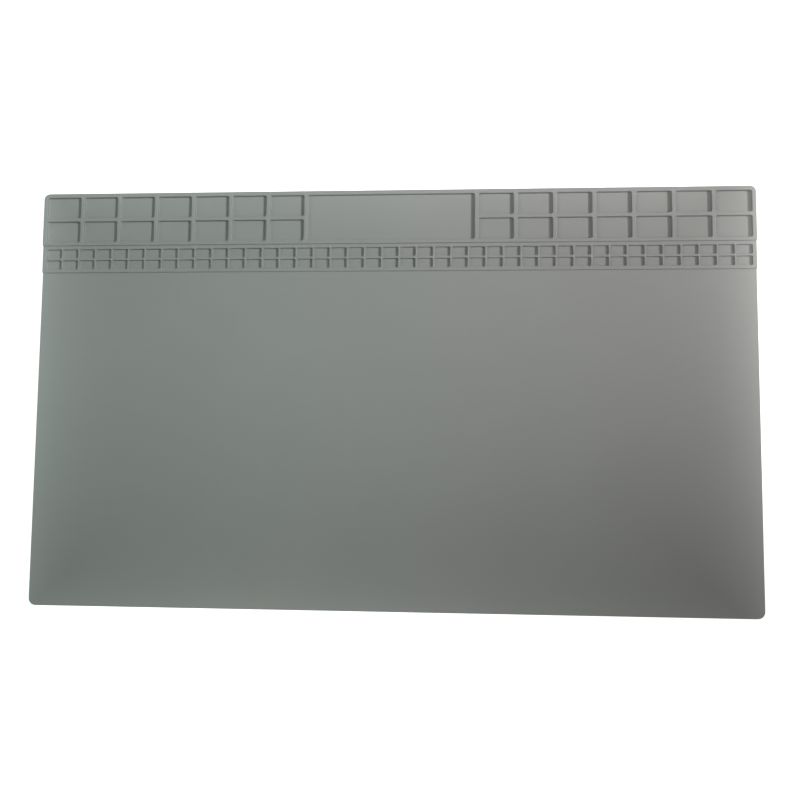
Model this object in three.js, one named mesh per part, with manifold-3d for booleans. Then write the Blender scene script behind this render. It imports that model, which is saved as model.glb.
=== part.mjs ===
// A silicone work mat for repairing small electronics, moulded in one piece.
// It is a thin sheet with a stepped strip of recesses along its far edge: a high band with two rows of
// large compartments and one long tray, and a lower band with two rows of small compartments.
// Millimetres. X runs along the mat, Y points to the strip of recesses, Z is up.
// The origin is on the underside, at the middle of the mat.
import * as THREE from 'three';
import { mergeVertices } from 'three/addons/utils/BufferGeometryUtils.js';
import Module from 'manifold-3d';

// The sheet
const MAT_LENGTH = 600;
const MAT_WIDTH = 350;
const SHEET_THICKNESS = 2.5;
const FAR_CORNER_RADIUS = 5;
const NEAR_CORNER_RADIUS = 6;
const EDGE_ROUNDING = 0.6;

// The two bands of the strip, each higher than the work surface in front of them
const LARGE_BAND_RISE = 3;
const SMALL_BAND_RISE = 1.5;

// Large compartments, in columns at both ends of the high band
const LARGE_ROWS = 2;
const LARGE_COLUMNS_PER_END = 7;
const LARGE_CELL_LENGTH = 29.3;
const LARGE_CELL_WIDTH = 18;
const LARGE_RIB = 3;
const LARGE_CELL_RADIUS = 1.5;

// Small compartments, from end to end of the low band, with floors a little below the work surface
const SMALL_ROWS = 2;
const SMALL_COLUMNS = 41;
const SMALL_CELL_WIDTH = 7.7;
const SMALL_CELL_DEPTH = 2.3;
const SMALL_RIB_ACROSS = 1.3;
const SMALL_RIB_ALONG = 1.8;
const SMALL_CELL_RADIUS = 0.8;

// Plain borders around the compartments
const SIDE_BORDER = 3.5;
const FAR_BORDER = 3.6;
const LARGE_NEAR_BORDER = 3;
const SMALL_FAR_BORDER = 3;
const SMALL_NEAR_BORDER = 3;

// The walls of a compartment lean back by this much for each millimetre of depth
const WALL_DRAFT = 0.08;

// How far a cutting solid stands above the rim that it opens
const CUT_CLEARANCE = 2;

const CORNER_SEGMENTS = 4;
const CELL_CORNER_SEGMENTS = 1;
const ROUNDING_SEGMENTS = 2;

// Places that follow from the sizes above
const halfLength = MAT_LENGTH / 2;
const farEdge = MAT_WIDTH / 2;
const usableLength = MAT_LENGTH - 2 * SIDE_BORDER;
const largeTop = SHEET_THICKNESS + LARGE_BAND_RISE;
const smallTop = SHEET_THICKNESS + SMALL_BAND_RISE;

const largePitchAlong = LARGE_CELL_LENGTH + LARGE_RIB;
const largePitchAcross = LARGE_CELL_WIDTH + LARGE_RIB;
const largeRowsWidth = LARGE_ROWS * largePitchAcross - LARGE_RIB;
const largeBandWidth = FAR_BORDER + largeRowsWidth + LARGE_NEAR_BORDER;
const trayLength = usableLength - 2 * LARGE_COLUMNS_PER_END * largePitchAlong;

const smallCellLength = (usableLength - (SMALL_COLUMNS - 1) * SMALL_RIB_ACROSS) / SMALL_COLUMNS;
const smallPitchAlong = smallCellLength + SMALL_RIB_ACROSS;
const smallPitchAcross = SMALL_CELL_WIDTH + SMALL_RIB_ALONG;
const smallRowsWidth = SMALL_ROWS * smallPitchAcross - SMALL_RIB_ALONG;
const smallBandWidth = SMALL_FAR_BORDER + smallRowsWidth + SMALL_NEAR_BORDER;

const firstLargeRow = farEdge - FAR_BORDER;
const largeBandEdge = farEdge - largeBandWidth;
const firstSmallRow = largeBandEdge - SMALL_FAR_BORDER;
const smallBandEdge = largeBandEdge - smallBandWidth;

const wasm = await Module();
wasm.setup();

function solidOf(geometry) {
  const bare = geometry.clone();
  bare.deleteAttribute('normal');
  bare.deleteAttribute('uv');
  const merged = mergeVertices(bare);
  return new wasm.Manifold(new wasm.Mesh({
    numProp: 3,
    vertProperties: Float32Array.from(merged.attributes.position.array),
    triVerts: Uint32Array.from(merged.index.array),
  }));
}

function geometryOf(solid) {
  const mesh = solid.getMesh();
  const geometry = new THREE.BufferGeometry();
  geometry.setAttribute('position', new THREE.BufferAttribute(Float32Array.from(mesh.vertProperties), 3));
  geometry.setIndex(new THREE.BufferAttribute(Uint32Array.from(mesh.triVerts), 1));
  geometry.computeVertexNormals();
  return geometry;
}

// A rectangle between two corners, with one radius for its far corners and one for its near ones.
function rectangle(left, near, right, far, farRadius, nearRadius) {
  const shape = new THREE.Shape();
  shape.moveTo(left + nearRadius, near);
  shape.lineTo(right - nearRadius, near);
  if (nearRadius > 0) {
    shape.absarc(right - nearRadius, near + nearRadius, nearRadius, -Math.PI / 2, 0, false);
  }
  shape.lineTo(right, far - farRadius);
  shape.absarc(right - farRadius, far - farRadius, farRadius, 0, Math.PI / 2, false);
  shape.lineTo(left + farRadius, far);
  shape.absarc(left + farRadius, far - farRadius, farRadius, Math.PI / 2, Math.PI, false);
  if (nearRadius > 0) {
    shape.lineTo(left, near + nearRadius);
    shape.absarc(left + nearRadius, near + nearRadius, nearRadius, Math.PI, 1.5 * Math.PI, false);
  } else {
    shape.lineTo(left, near);
  }
  return shape;
}

// A flat slab between two heights, with its upper and lower edges rounded inside its outline.
function slab(shape, low, high) {
  const geometry = new THREE.ExtrudeGeometry(shape, {
    depth: high - low - 2 * EDGE_ROUNDING,
    steps: 1,
    curveSegments: CORNER_SEGMENTS,
    bevelEnabled: true,
    bevelThickness: EDGE_ROUNDING,
    bevelSize: EDGE_ROUNDING,
    bevelOffset: -EDGE_ROUNDING,
    bevelSegments: ROUNDING_SEGMENTS,
  });
  geometry.translate(0, 0, low + EDGE_ROUNDING);
  return solidOf(geometry);
}

// The space of one compartment. Its outline is full size at the rim and shrinks down to the floor.
function recess(left, near, length, width, rim, depth, radius) {
  const lean = depth * WALL_DRAFT;
  const outline = rectangle(left, near, left + length, near + width, radius, radius);
  const geometry = new THREE.ExtrudeGeometry(outline, {
    depth: CUT_CLEARANCE,
    steps: 1,
    curveSegments: CELL_CORNER_SEGMENTS,
    bevelEnabled: true,
    bevelThickness: depth,
    bevelSize: lean,
    bevelOffset: -lean,
    bevelSegments: 1,
  });
  geometry.translate(0, 0, rim);
  return solidOf(geometry);
}

function largeRecesses() {
  const spaces = [];
  const leftEndStart = -halfLength + SIDE_BORDER;
  const trayStart = leftEndStart + LARGE_COLUMNS_PER_END * largePitchAlong;
  const rightEndStart = trayStart + trayLength + LARGE_RIB;
  for (const endStart of [leftEndStart, rightEndStart]) {
    for (let column = 0; column < LARGE_COLUMNS_PER_END; column += 1) {
      for (let row = 0; row < LARGE_ROWS; row += 1) {
        spaces.push(recess(
          endStart + column * largePitchAlong,
          firstLargeRow - row * largePitchAcross - LARGE_CELL_WIDTH,
          LARGE_CELL_LENGTH,
          LARGE_CELL_WIDTH,
          largeTop,
          LARGE_BAND_RISE,
          LARGE_CELL_RADIUS,
        ));
      }
    }
  }
  spaces.push(recess(
    trayStart,
    firstLargeRow - largeRowsWidth,
    trayLength,
    largeRowsWidth,
    largeTop,
    LARGE_BAND_RISE,
    LARGE_CELL_RADIUS,
  ));
  return spaces;
}

function smallRecesses() {
  const spaces = [];
  const start = -halfLength + SIDE_BORDER;
  for (let column = 0; column < SMALL_COLUMNS; column += 1) {
    for (let row = 0; row < SMALL_ROWS; row += 1) {
      spaces.push(recess(
        start + column * smallPitchAlong,
        firstSmallRow - row * smallPitchAcross - SMALL_CELL_WIDTH,
        smallCellLength,
        SMALL_CELL_WIDTH,
        smallTop,
        SMALL_CELL_DEPTH,
        SMALL_CELL_RADIUS,
      ));
    }
  }
  return spaces;
}

// The sheet and both bands are slabs that share the mat's outer walls. A band's slab starts inside the
// sheet, above the sheet's lower rounding, so that the outer wall is unbroken from one to the other.
function mouldedBody() {
  const bandFoot = EDGE_ROUNDING;
  const outlineFrom = (near, nearRadius) => (
    rectangle(-halfLength, near, halfLength, farEdge, FAR_CORNER_RADIUS, nearRadius)
  );
  return slab(outlineFrom(-farEdge, NEAR_CORNER_RADIUS), 0, SHEET_THICKNESS)
    .add(slab(outlineFrom(smallBandEdge, 0), bandFoot, smallTop))
    .add(slab(outlineFrom(largeBandEdge, 0), bandFoot, largeTop));
}

function workMat() {
  let body = mouldedBody();
  for (const space of [...largeRecesses(), ...smallRecesses()]) {
    body = body.subtract(space);
  }
  const silicone = new THREE.MeshStandardMaterial({ color: 0x838682, roughness: 0.75, metalness: 0 });
  const mesh = new THREE.Mesh(geometryOf(body), silicone);
  mesh.name = 'work_mat';
  return mesh;
}

const mat = new THREE.Group();
mat.add(workMat());

export default mat;
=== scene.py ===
# %% [markdown]
# # A silicone work mat
# A repair mat is one sheet of silicone rubber, pressed in a steel mould. The mould gives it a plain work
# area and, along the far edge, a stepped strip of compartments for screws. Everything here is therefore
# one mesh with one material, and the interest is in its soft edges, its shallow pockets and the way that
# matt rubber takes the light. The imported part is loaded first, because it fixes the place and the size.

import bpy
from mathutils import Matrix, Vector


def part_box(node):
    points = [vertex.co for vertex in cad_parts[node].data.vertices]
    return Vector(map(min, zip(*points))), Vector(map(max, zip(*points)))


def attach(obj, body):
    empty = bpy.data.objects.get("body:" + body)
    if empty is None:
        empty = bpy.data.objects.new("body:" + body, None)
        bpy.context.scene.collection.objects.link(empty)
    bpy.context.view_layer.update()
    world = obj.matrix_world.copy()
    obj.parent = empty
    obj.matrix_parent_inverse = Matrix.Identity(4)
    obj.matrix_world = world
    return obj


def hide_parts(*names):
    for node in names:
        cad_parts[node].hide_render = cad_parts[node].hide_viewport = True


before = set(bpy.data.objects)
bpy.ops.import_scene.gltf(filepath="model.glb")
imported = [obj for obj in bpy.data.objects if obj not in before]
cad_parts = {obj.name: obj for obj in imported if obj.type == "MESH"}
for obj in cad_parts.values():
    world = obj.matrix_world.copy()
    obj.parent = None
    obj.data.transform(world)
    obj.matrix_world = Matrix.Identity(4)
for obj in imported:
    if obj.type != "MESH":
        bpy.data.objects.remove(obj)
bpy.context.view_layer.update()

# %% [markdown]
# ## Names used all the way through
# Blender works in metres, and a mat is easier to think about in millimetres, so sizes are written as a
# number times MM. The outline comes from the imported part, so the two can't drift apart.

# %% Units and the outline
import math

import bmesh
import bpy
from mathutils import Matrix, Vector

MM = 0.001
mat_low, mat_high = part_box("work_mat")
mat_length = mat_high.x - mat_low.x
mat_width = mat_high.y - mat_low.y
print("mat, mm:", round(mat_length / MM, 1), "x", round(mat_width / MM, 1))

# %% [markdown]
# ## The camera
# The photograph was taken from almost straight above, a little right of the middle and a little towards
# the near edge. That is why the right walls of the pockets show at the right end and the left walls at
# the left end. The camera is aimed by building its three axes, because a camera that looks nearly
# straight down has no clear upward direction for a tracking helper to use.

# %% Camera
PHOTO_SIDE = 800
FOCAL_LENGTH_PIXELS = 900
CAMERA_PLACE = Vector((60.1, -66.2, 742.2)) * MM
CAMERA_AIM = Vector((9.1, -2.0, 0)) * MM
CAMERA_ROLL = math.radians(0.55)

camera_data = bpy.data.cameras.new("camera")
camera_data.lens = camera_data.sensor_width * FOCAL_LENGTH_PIXELS / PHOTO_SIDE
camera = bpy.data.objects.new("camera", camera_data)
bpy.context.collection.objects.link(camera)

forward = (CAMERA_AIM - CAMERA_PLACE).normalized()
rightward = forward.cross(Vector((0, 1, 0))).normalized()
upward = rightward.cross(forward)
axes = Matrix((rightward, upward, -forward)).transposed().to_4x4()
camera.matrix_world = Matrix.Translation(CAMERA_PLACE) @ axes @ Matrix.Rotation(CAMERA_ROLL, 4, "Z")
bpy.context.scene.camera = camera
print("lens, mm:", round(camera_data.lens, 2))

# %% [markdown]
# ## Floor and room light
# The floor is a plain white sheet. In the photograph nothing of the surroundings is left but white, and
# a grey mat beside a white sheet would need far too much light before the sheet turned white. Some
# emission on the sheet does the same without bleaching the mat. The room itself is an even, weak white
# light. A Light Path node shows it to the camera as full white, so that a low view has a white horizon.

# %% Floor
FLOOR_SIDE = 6.0
FLOOR_WHITE = (0.9, 0.9, 0.9, 1)
FLOOR_ROUGHNESS = 0.9
FLOOR_GLOW = 0.75

floor_mesh = bpy.data.meshes.new("floor")
shaper = bmesh.new()
bmesh.ops.create_grid(shaper, x_segments=1, y_segments=1, size=FLOOR_SIDE / 2)
shaper.to_mesh(floor_mesh)
shaper.free()
floor = bpy.data.objects.new("floor", floor_mesh)
bpy.context.collection.objects.link(floor)
floor_material = bpy.data.materials.new("white sheet")
floor_material.use_nodes = True
floor_shader = floor_material.node_tree.nodes["Principled BSDF"]
floor_shader.inputs["Base Color"].default_value = FLOOR_WHITE
floor_shader.inputs["Roughness"].default_value = FLOOR_ROUGHNESS
floor_shader.inputs["Emission Color"].default_value = (1, 1, 1, 1)
floor_shader.inputs["Emission Strength"].default_value = FLOOR_GLOW
floor_mesh.materials.append(floor_material)
print("floor, metres:", FLOOR_SIDE, "x", FLOOR_SIDE)

# %% Room light
ROOM_STRENGTH = 0.3
ROOM_SEEN = 1.0

room = bpy.data.worlds.new("room")
room.use_nodes = True
room_nodes = room.node_tree.nodes
room_light = room_nodes["Background"]
room_light.inputs["Color"].default_value = (1, 1, 1, 1)
ray_kind = room_nodes.new("ShaderNodeLightPath")
strength = room_nodes.new("ShaderNodeMix")
strength.inputs["A"].default_value = ROOM_STRENGTH
strength.inputs["B"].default_value = ROOM_SEEN
room.node_tree.links.new(ray_kind.outputs["Is Camera Ray"], strength.inputs["Factor"])
room.node_tree.links.new(strength.outputs["Result"], room_light.inputs["Strength"])
bpy.context.scene.world = room
bpy.context.scene.view_settings.view_transform = "Standard"
print("room light:", ROOM_STRENGTH)

# %% [markdown]
# ## Lamps
# A spot whose edge is fully blended fades slowly from the middle of its cone, so it shades a flat sheet
# from light to dark without a visible border. The shadows at the right sides of the pockets come from two
# keys on one stand. It is far away, so the shadows are about as wide at both ends of the strip. A large,
# soft fill from the left mostly reaches the right end and opens its shadows. The other lamps hang over
# the mat. Two of them are a little green and light its left half, and the last warms the near edge.
# Places and aims are in metres and cones in degrees.


# %% Lamps
LAMP_RADIUS = 0.2
FILL_RADIUS = 0.32
RIGHT_STAND = (3.0, 0.15, 2.7)
LEFT_STAND = (-1.0, -0.10, 1.2)


def spot_light(name, place, aim, cone, watts, colour, radius=LAMP_RADIUS):
    data = bpy.data.lights.new(name, "SPOT")
    data.energy = watts
    data.color = colour
    data.spot_size = math.radians(cone)
    data.spot_blend = 1.0
    data.shadow_soft_size = radius
    lamp = bpy.data.objects.new(name, data)
    lamp.location = place
    lamp.rotation_mode = "QUATERNION"
    lamp.rotation_quaternion = (Vector(aim) - Vector(place)).to_track_quat("-Z", "Y")
    bpy.context.collection.objects.link(lamp)


spot_light(
    "key, right half",
    place=RIGHT_STAND,
    aim=(0.28, 0.17, 0),
    cone=9,
    watts=347,
    colour=(1.0, 0.90, 0.92),
)
spot_light(
    "key, left half",
    place=RIGHT_STAND,
    aim=(-0.20, 0.15, 0),
    cone=12,
    watts=625,
    colour=(0.98, 1.0, 1.0),
)
spot_light(
    "fill, right end",
    place=LEFT_STAND,
    aim=(0.31, 0.18, 0),
    cone=14,
    watts=110,
    colour=(1.0, 0.97, 0.98),
    radius=FILL_RADIUS,
)
spot_light(
    "top light, right",
    place=(0.30, -0.20, 1.6),
    aim=(0.28, 0.25, 0),
    cone=26,
    watts=33.6,
    colour=(1.0, 0.97, 0.97),
)
spot_light(
    "top light, left",
    place=(-0.30, 0.20, 1.6),
    aim=(-0.28, 0.20, 0),
    cone=24,
    watts=21.3,
    colour=(0.84, 1.0, 0.94),
)
spot_light(
    "work light, left",
    place=(-0.25, 0.10, 1.6),
    aim=(-0.20, -0.12, 0),
    cone=30,
    watts=12.3,
    colour=(0.23, 1.0, 0.81),
)
spot_light(
    "work light, near edge",
    place=(-0.08, -0.10, 1.6),
    aim=(-0.08, -0.22, 0),
    cone=20,
    watts=26.1,
    colour=(1.0, 0.78, 0.75),
)

# %% [markdown]
# ## The sizes of the mat
# A compartment is named by what a user would measure with a rule: its length along the mat, its width
# across it, and the rib to its neighbour. The long tray gets what is left between the two blocks.

# %% Sizes
SHEET_THICKNESS = 2.5 * MM
LARGE_RISE = 3.0 * MM
SMALL_RISE = 1.5 * MM
FAR_CORNER_RADIUS = 5.0 * MM
NEAR_CORNER_RADIUS = 6.0 * MM
EDGE_ROUNDING = 0.6 * MM
SIDE_BORDER = 3.5 * MM
FAR_BORDER = 3.6 * MM
BAND_BORDER = 3.0 * MM

LARGE_ROWS = 2
LARGE_COLUMNS = 7
LARGE_LENGTH = 29.3 * MM
LARGE_WIDTH = 18.0 * MM
LARGE_RIB = 3.0 * MM

SMALL_ROWS = 2
SMALL_COLUMNS = 41
SMALL_WIDTH = 7.7 * MM
SMALL_DEPTH = 2.3 * MM
SMALL_RIB_ACROSS = 1.3 * MM
SMALL_RIB_ALONG = 1.8 * MM

large_top = SHEET_THICKNESS + LARGE_RISE
small_top = SHEET_THICKNESS + SMALL_RISE
usable_length = mat_length - 2 * SIDE_BORDER
large_rows_width = LARGE_ROWS * (LARGE_WIDTH + LARGE_RIB) - LARGE_RIB
small_rows_width = SMALL_ROWS * (SMALL_WIDTH + SMALL_RIB_ALONG) - SMALL_RIB_ALONG
tray_length = usable_length - 2 * LARGE_COLUMNS * (LARGE_LENGTH + LARGE_RIB)
small_length = (usable_length - (SMALL_COLUMNS - 1) * SMALL_RIB_ACROSS) / SMALL_COLUMNS
large_edge = mat_high.y - FAR_BORDER - large_rows_width - BAND_BORDER
small_edge = large_edge - 2 * BAND_BORDER - small_rows_width
print("long tray, mm:", round(tray_length / MM, 1), "small compartment, mm:", round(small_length / MM, 2))
print("bands end at y, mm:", round(large_edge / MM, 1), round(small_edge / MM, 1))


# %% [markdown]
# ## The stepped sheet
# A box with pieces added on top would leave hidden walls inside. Instead one flat outline is drawn, its
# corners are rounded while it is still flat, and two cuts divide it into work area, small band and large
# band. Each band is then pulled up from the sheet, so the skin stays whole.

# %% A flat outline with round corners
HALF_METRE = 0.5


def rounded_rectangle(mesh, length, width, far_radius, near_radius, segments):
    """A grid's size is half its side, so the flat face starts as a square of one metre."""
    made = bmesh.ops.create_grid(mesh, x_segments=1, y_segments=1, size=HALF_METRE)
    bmesh.ops.scale(mesh, vec=(length, width, 1), verts=made["verts"])
    far_corners = [v for v in made["verts"] if v.co.y > 0]
    near_corners = [v for v in made["verts"] if v.co.y < 0]
    for corners, radius in ((far_corners, far_radius), (near_corners, near_radius)):
        bmesh.ops.bevel(
            mesh,
            geom=corners,
            affect="VERTICES",
            offset=radius,
            segments=segments,
            profile=0.5,
            material=-1,
        )


def edges_of(faces):
    """Each edge once, in an order that is the same in every run, which a set doesn't give."""
    return list(dict.fromkeys(e for f in faces for e in f.edges))


def corners_of(faces):
    return list(dict.fromkeys(v for f in faces for v in f.verts))


def rise(mesh, faces, height):
    """Pulls faces straight up, with new walls round them, and returns the raised faces."""
    region = faces + edges_of(faces) + corners_of(faces)
    made = bmesh.ops.extrude_face_region(mesh, geom=region)["geom"]
    raised = [g for g in made if isinstance(g, bmesh.types.BMVert)]
    bmesh.ops.translate(mesh, verts=raised, vec=(0, 0, height))
    return [g for g in made if isinstance(g, bmesh.types.BMFace)]


CORNER_SEGMENTS = 10
mat_mesh = bmesh.new()
rounded_rectangle(mat_mesh, mat_length, mat_width, FAR_CORNER_RADIUS, NEAR_CORNER_RADIUS, CORNER_SEGMENTS)
for edge_y in (small_edge, large_edge):
    everything = mat_mesh.verts[:] + mat_mesh.edges[:] + mat_mesh.faces[:]
    bmesh.ops.bisect_plane(mat_mesh, geom=everything, plane_co=(0, edge_y, 0), plane_no=(0, 1, 0))
top = rise(mat_mesh, mat_mesh.faces[:], SHEET_THICKNESS)
bands = rise(mat_mesh, [f for f in top if f.calc_center_bounds().y > small_edge], SMALL_RISE)
rise(mat_mesh, [f for f in bands if f.calc_center_bounds().y > large_edge], LARGE_RISE - SMALL_RISE)
bmesh.ops.recalc_face_normals(mat_mesh, faces=mat_mesh.faces)
print("stepped sheet:", len(mat_mesh.faces), "faces")

# %% [markdown]
# ## Soft edges
# Rubber that comes out of a mould has no sharp edge. Flat faces that meet in one plane are joined first,
# so that only true edges are left, and every edge where the surface turns sharply is rounded in one call.
# The upright lines of the round corners turn only a few degrees each, so they are left alone.

# %% Round the edges
SHARP_TURN = math.radians(45)
FLAT_TURN = math.radians(0.5)
ROUNDING_SEGMENTS = 4
bmesh.ops.dissolve_limit(
    mat_mesh, angle_limit=FLAT_TURN, verts=mat_mesh.verts, edges=mat_mesh.edges, delimit=set()
)
sharp = [e for e in mat_mesh.edges if e.calc_face_angle() > SHARP_TURN]
bmesh.ops.bevel(
    mat_mesh,
    geom=sharp,
    affect="EDGES",
    offset=EDGE_ROUNDING,
    segments=ROUNDING_SEGMENTS,
    profile=0.5,
    material=-1,
    clamp_overlap=True,
)
print("rounded", len(sharp), "edges:", len(mat_mesh.faces), "faces")


# %% [markdown]
# ## One compartment
# A pocket could be cut with a boolean, but a boolean leaves thin faces that shade badly. Here a pocket is
# a cup, modelled by itself and then set into the sheet. It starts as a flat rounded rectangle, which is
# inset to leave a narrow lip and pushed down, with walls that lean a little so that the mould lets go.
# The lip's inner edge and the foot of the wall are then rounded.

# %% Model a cup
WALL_DRAFT = 0.08
LIP = 0.1 * MM
CUP_ROUNDING_SEGMENTS = 3


def face_size(faces):
    points = [v.co for v in corners_of(faces)]
    length = max(p.x for p in points) - min(p.x for p in points)
    width = max(p.y for p in points) - min(p.y for p in points)
    return length, width


def cup(length, width, depth, radius, rim_rounding, foot_rounding, segments):
    """A pocket whose rim lies at height 0, centred on the origin, as a mesh of its own."""
    lip = rim_rounding + LIP
    shape = bmesh.new()
    rounded_rectangle(shape, length + 2 * lip, width + 2 * lip, radius + lip, radius + lip, segments)
    mouth = shape.faces[:]
    bmesh.ops.inset_region(shape, faces=mouth, thickness=lip, use_even_offset=True, use_boundary=True)
    rim = edges_of(mouth)
    base = rise(shape, mouth, -depth)
    base_length, base_width = face_size(base)
    lean = 2 * depth * WALL_DRAFT
    shrink = (1 - lean / base_length, 1 - lean / base_width, 1)
    bmesh.ops.scale(shape, vec=shrink, verts=corners_of(base))
    foot = edges_of(base)
    for edges, rounding in ((rim, rim_rounding), (foot, foot_rounding)):
        bmesh.ops.bevel(
            shape,
            geom=edges,
            affect="EDGES",
            offset=rounding,
            segments=CUP_ROUNDING_SEGMENTS,
            profile=0.5,
            material=-1,
        )
    finished = bpy.data.meshes.new("cup")
    shape.to_mesh(finished)
    shape.free()
    return finished


# %% The three kinds of cup
LARGE_RADIUS = 1.5 * MM
LARGE_RIM = 0.45 * MM
LARGE_FOOT = 0.4 * MM
LARGE_CORNER_SEGMENTS = 5
SMALL_RADIUS = 0.8 * MM
SMALL_RIM = 0.3 * MM
SMALL_FOOT = 0.25 * MM
SMALL_CORNER_SEGMENTS = 4

large_finish = (LARGE_RISE, LARGE_RADIUS, LARGE_RIM, LARGE_FOOT, LARGE_CORNER_SEGMENTS)
small_finish = (SMALL_DEPTH, SMALL_RADIUS, SMALL_RIM, SMALL_FOOT, SMALL_CORNER_SEGMENTS)
large_cup = cup(LARGE_LENGTH, LARGE_WIDTH, *large_finish)
tray_cup = cup(tray_length, large_rows_width, *large_finish)
small_cup = cup(small_length, SMALL_WIDTH, *small_finish)
print("faces in a large, long and small cup:", [len(m.polygons) for m in (large_cup, tray_cup, small_cup)])


# %% [markdown]
# ## Where the compartments go
# Each cup is copied to its place. Counting from the left border keeps both bands in line at both ends of
# the mat, as they are in the mould.

# %% Places
def rows_of(first_top, rows, width, rib):
    return [first_top - width / 2 - row * (width + rib) for row in range(rows)]


def columns_of(start, columns, length, rib):
    return [start + length / 2 + column * (length + rib) for column in range(columns)]


first_column = mat_low.x + SIDE_BORDER
block_length = LARGE_COLUMNS * (LARGE_LENGTH + LARGE_RIB)
tray_middle = first_column + block_length + tray_length / 2
second_block = first_column + block_length + tray_length + LARGE_RIB
large_columns = columns_of(first_column, LARGE_COLUMNS, LARGE_LENGTH, LARGE_RIB)
large_columns += columns_of(second_block, LARGE_COLUMNS, LARGE_LENGTH, LARGE_RIB)
large_rows = rows_of(mat_high.y - FAR_BORDER, LARGE_ROWS, LARGE_WIDTH, LARGE_RIB)
small_columns = columns_of(first_column, SMALL_COLUMNS, small_length, SMALL_RIB_ACROSS)
small_rows = rows_of(large_edge - BAND_BORDER, SMALL_ROWS, SMALL_WIDTH, SMALL_RIB_ALONG)
tray_row = mat_high.y - FAR_BORDER - large_rows_width / 2

large_places = [(large_cup, x, y) for x in large_columns for y in large_rows]
large_places.append((tray_cup, tray_middle, tray_row))
small_places = [(small_cup, x, y) for x in small_columns for y in small_rows]
print("compartments:", len(large_places), "in the large band,", len(small_places), "in the small band")


# %% [markdown]
# ## Setting the cups into a band
# A band's flat top face is taken out, and only its border line stays. The cups are copied in, and one
# fill closes the ribs between the border and all the cup lips. The fill is flat, so its triangles never
# show.

# %% Set the cups in
LEVEL = 0.999
HEIGHT_TOLERANCE = 0.1 * MM
LEAST_BAND_AREA = 0.001
CUBIC_CM = 1e-6


def is_band_top(face, height):
    """A band's top is level, lies at its height and is larger than any rib, in square metres."""
    right_height = abs(face.calc_center_bounds().z - height) < HEIGHT_TOLERANCE
    return right_height and face.normal.z > LEVEL and face.calc_area() > LEAST_BAND_AREA


def set_in(mesh, height, places):
    flat = [f for f in mesh.faces if is_band_top(f, height)]
    border = edges_of(flat)
    bmesh.ops.delete(mesh, geom=flat, context="FACES_ONLY")
    known = set(mesh.verts)
    lips = []
    for cup_mesh, x, y in places:
        mesh.from_mesh(cup_mesh)
        added = [v for v in mesh.verts if v not in known]
        bmesh.ops.translate(mesh, verts=added, vec=(x, y, height))
        known.update(added)
        added_edges = dict.fromkeys(e for v in added for e in v.link_edges)
        lips += [e for e in added_edges if e.is_boundary]
    bmesh.ops.triangle_fill(mesh, edges=border + lips, use_beauty=True, normal=(0, 0, 1))
    return len(flat), len(lips)


print("large band, faces taken out and lip edges:", set_in(mat_mesh, large_top, large_places))
print("small band, faces taken out and lip edges:", set_in(mat_mesh, small_top, small_places))
bmesh.ops.recalc_face_normals(mat_mesh, faces=mat_mesh.faces)
open_edges = [e for e in mat_mesh.edges if len(e.link_faces) != 2]
print("open edges:", len(open_edges), "volume, cm3:", round(mat_mesh.calc_volume() / CUBIC_CM, 1))

# %% Make it an object
mat_data = bpy.data.meshes.new("silicone_mat")
mat_mesh.to_mesh(mat_data)
mat_mesh.free()
for polygon in mat_data.polygons:
    polygon.use_smooth = True
silicone_mat = bpy.data.objects.new("silicone_mat", mat_data)
bpy.context.collection.objects.link(silicone_mat)
weighted = silicone_mat.modifiers.new("flat faces stay flat", "WEIGHTED_NORMAL")
weighted.keep_sharp = True
mat_data.calc_loop_triangles()
print("triangles:", len(mat_data.loop_triangles))

# %% [markdown]
# ## The silicone
# The matt silicone is a mid grey with a trace of green. It reflects less than most plastics, which a
# lower IOR gives, and it has a broad soft sheen. Its colour isn't quite even. The outer few centimetres
# carry a painted highlight: paler colour in place of light. The whole sheet is also faintly clouded.
# Moulds for such mats are usually blasted, so the rubber gets a fine grain, which breaks up what shine is
# left. All patterns read Object coordinates in metres, so a scale of 10 makes clouds about a tenth of a
# metre across.

# %% Helpers for nodes
silicone = bpy.data.materials.new("grey silicone")
silicone.use_nodes = True
silicone_tree = silicone.node_tree
shader = silicone_tree.nodes["Principled BSDF"]


def node(kind, **settings):
    made = silicone_tree.nodes.new(kind)
    for name, value in settings.items():
        setattr(made, name, value)
    return made


def feed(source, target):
    """Links an output to an input, or writes a plain value there."""
    if isinstance(source, bpy.types.NodeSocket):
        silicone_tree.links.new(source, target)
    else:
        target.default_value = source


def sums(operation, first, second=0.0, third=0.0):
    made = node("ShaderNodeMath", operation=operation)
    for value, socket in zip((first, second, third), made.inputs):
        feed(value, socket)
    return made.outputs["Value"]


def noise(scale, detail, stretch=(1, 1, 1)):
    """Noise between 0 and 1 on Object coordinates."""
    mapping = node("ShaderNodeMapping")
    mapping.inputs["Scale"].default_value = stretch
    feed(place_node.outputs["Object"], mapping.inputs["Vector"])
    made = node("ShaderNodeTexNoise")
    made.inputs["Scale"].default_value = scale
    made.inputs["Detail"].default_value = detail
    feed(mapping.outputs["Vector"], made.inputs["Vector"])
    return made.outputs["Fac"]


place_node = node("ShaderNodeTexCoord")
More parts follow.
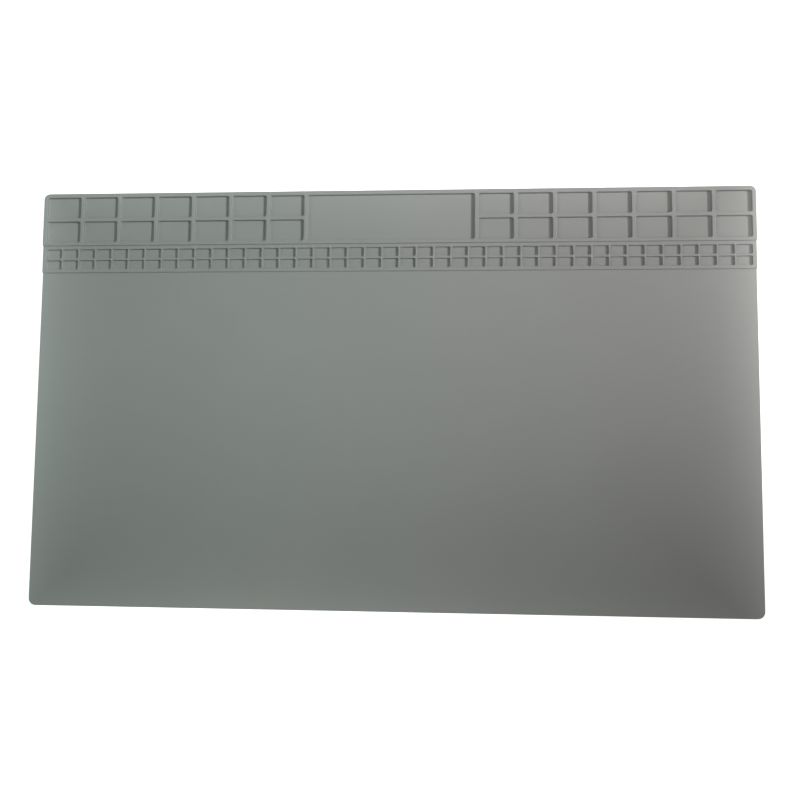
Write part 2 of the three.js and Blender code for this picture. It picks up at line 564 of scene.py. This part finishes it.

# %% [markdown]
# ### Colour
# The mat is painted paler towards its edges, and most of all at its right end. This is a painted
# highlight, lighter colour in place of light, because no lamp draws such a narrow border. The painted
# highlight fades with the distance to an edge as a power of e, which has no visible end. It multiplies the
# grey, as the clouds and a faint streakiness along the mat do, so their shares are easy to compare.

# %% Silicone colour
SILICONE_GREY = (0.178, 0.184, 0.176)
# Painted highlight: shares by which the edges are painted paler in place of light, most at the right end.
RIGHT_PAINTED_HIGHLIGHT = 0.85
LEFT_PAINTED_HIGHLIGHT = 0.50
NEAR_PAINTED_HIGHLIGHT = 0.46
FAR_PAINTED_HIGHLIGHT = 0.34
PAINTED_HIGHLIGHT_FADE = 25 * MM
CLOUD_SCALE = 9
CLOUD_DETAIL = 3
CLOUD_SHARE = 0.10
STREAK_SCALE = 40
STREAK_DETAIL = 4
STREAK_STRETCH = (1, 14, 1)
STREAK_SHARE = 0.05

position = node("ShaderNodeSeparateXYZ")
feed(place_node.outputs["Object"], position.inputs["Vector"])


def painted_highlight_term(along, half_size, low_share, high_share):
    """Painted highlight: how much paler the mat is painted for its distance to the two edges across one
    axis.
    """
    distance = sums("MAXIMUM", sums("SUBTRACT", half_size, sums("ABSOLUTE", along)), 0.0)
    fading = sums("EXPONENT", sums("MULTIPLY", distance, -1 / PAINTED_HIGHLIGHT_FADE))
    slope = (high_share - low_share) / (2 * half_size)
    share = sums("MULTIPLY_ADD", along, slope, (high_share + low_share) / 2)
    return sums("MULTIPLY", fading, share)


end_painted_highlight = painted_highlight_term(position.outputs["X"], mat_length / 2, LEFT_PAINTED_HIGHLIGHT, RIGHT_PAINTED_HIGHLIGHT)
side_painted_highlight = painted_highlight_term(position.outputs["Y"], mat_width / 2, NEAR_PAINTED_HIGHLIGHT, FAR_PAINTED_HIGHLIGHT)
# Painted highlight: the paler edges, painted into the colour, multiply the grey.
painted_edge_highlight = sums("ADD", sums("MAXIMUM", end_painted_highlight, side_painted_highlight), 1.0)
cloud_noise = noise(CLOUD_SCALE, CLOUD_DETAIL)
clouds = sums("MULTIPLY_ADD", cloud_noise, CLOUD_SHARE, 1 - CLOUD_SHARE / 2)
streak_noise = noise(STREAK_SCALE, STREAK_DETAIL, STREAK_STRETCH)
streaks = sums("MULTIPLY_ADD", streak_noise, STREAK_SHARE, 1 - STREAK_SHARE / 2)
tone = sums("MULTIPLY", painted_edge_highlight, sums("MULTIPLY", clouds, streaks))
colour = node("ShaderNodeVectorMath", operation="SCALE")
colour.inputs["Vector"].default_value = SILICONE_GREY
feed(tone, colour.inputs["Scale"])
feed(colour.outputs["Vector"], shader.inputs["Base Color"])
print("silicone grey, red green blue:", SILICONE_GREY)

# %% [markdown]
# ### Grain and shine
# The grain is about half a millimetre across and a few hundredths deep. It is far too small to model,
# so a Bump node tilts the light for it. The roughness wanders a little on a scale of centimetres.

# %% Silicone surface
SILICONE_IOR = 1.41
SHEEN = 0.12
SHEEN_ROUGHNESS = 0.5
ROUGHNESS = 0.58
ROUGHNESS_SWING = 0.12
ROUGHNESS_SCALE = 22
ROUGHNESS_DETAIL = 4
GRAIN_SCALE = 1900
GRAIN_DETAIL = 2
GRAIN_STRENGTH = 0.6
GRAIN_DEPTH = 0.03 * MM

roughness_noise = noise(ROUGHNESS_SCALE, ROUGHNESS_DETAIL)
roughness = sums("MULTIPLY_ADD", roughness_noise, ROUGHNESS_SWING, ROUGHNESS - ROUGHNESS_SWING / 2)
feed(roughness, shader.inputs["Roughness"])
shader.inputs["IOR"].default_value = SILICONE_IOR
shader.inputs["Sheen Weight"].default_value = SHEEN
shader.inputs["Sheen Roughness"].default_value = SHEEN_ROUGHNESS
grain = node("ShaderNodeBump")
grain.inputs["Strength"].default_value = GRAIN_STRENGTH
grain.inputs["Distance"].default_value = GRAIN_DEPTH
feed(noise(GRAIN_SCALE, GRAIN_DETAIL), grain.inputs["Height"])
feed(grain.outputs["Normal"], shader.inputs["Normal"])
mat_data.materials.append(silicone)
print("silicone nodes:", len(silicone_tree.nodes))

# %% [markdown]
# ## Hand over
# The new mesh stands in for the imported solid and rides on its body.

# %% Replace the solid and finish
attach(silicone_mat, "root")
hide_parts("work_mat")
